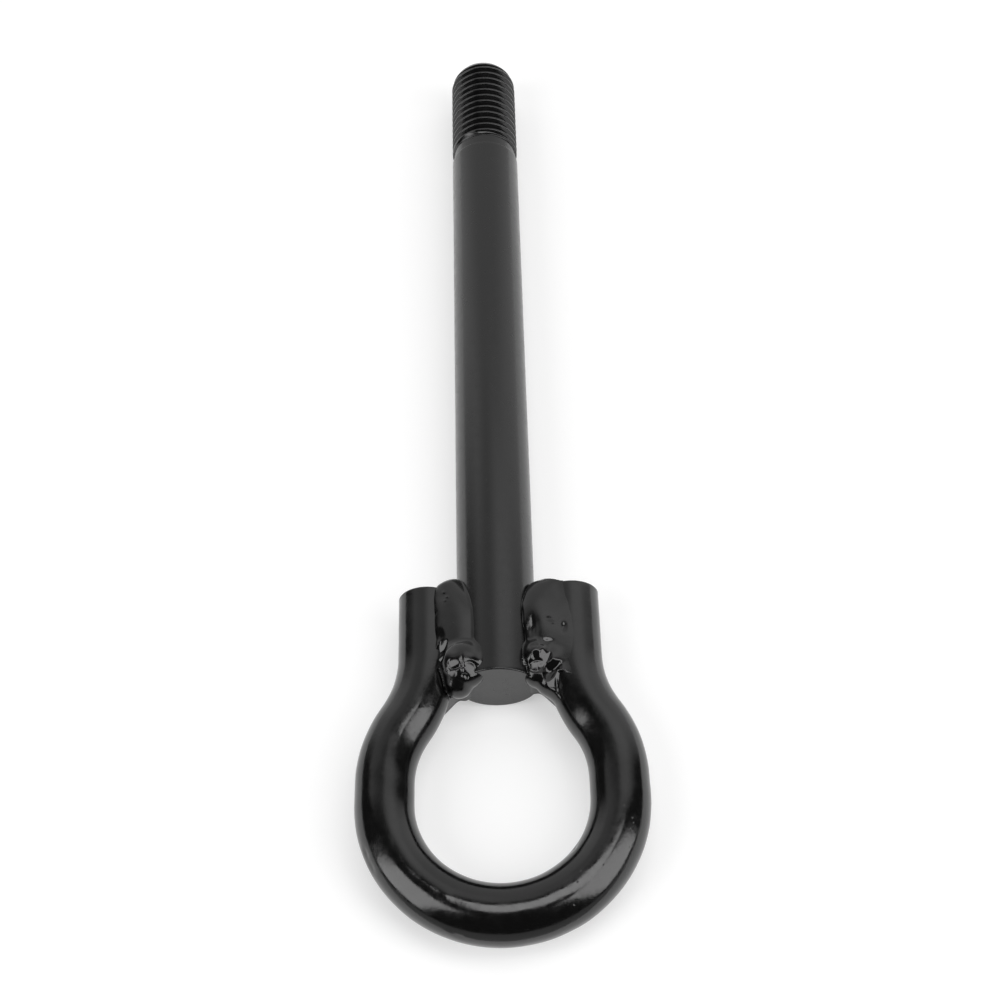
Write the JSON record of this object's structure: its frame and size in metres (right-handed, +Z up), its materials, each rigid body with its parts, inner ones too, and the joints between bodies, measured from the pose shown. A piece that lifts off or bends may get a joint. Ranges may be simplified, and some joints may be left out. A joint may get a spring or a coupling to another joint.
{
  "type": "recovery tow hook",
  "caption": "Round steel shank with a coarse threaded end, welded between the legs of a bent round-bar eye; all painted gloss black.",
  "frame": {"origin": "on the surface that the hook lies on, under the middle of its outline", "axes": "+Z up, +Y along the shank towards its threaded end, +X across the eye to the right when looking along +Y"},
  "size_m": [0.0558, 0.2244, 0.0166],
  "materials": {
    "black_gloss_paint": "gloss black stoving paint, slightly wavy"
  },
  "bodies": {
    "root": {"threaded_shank": "black_gloss_paint", "eye_bar": "black_gloss_paint", "weld_upper_left": "black_gloss_paint", "weld_upper_right": "black_gloss_paint", "weld_lower_left": "black_gloss_paint", "weld_lower_right": "black_gloss_paint"}
  },
  "joints": []
}
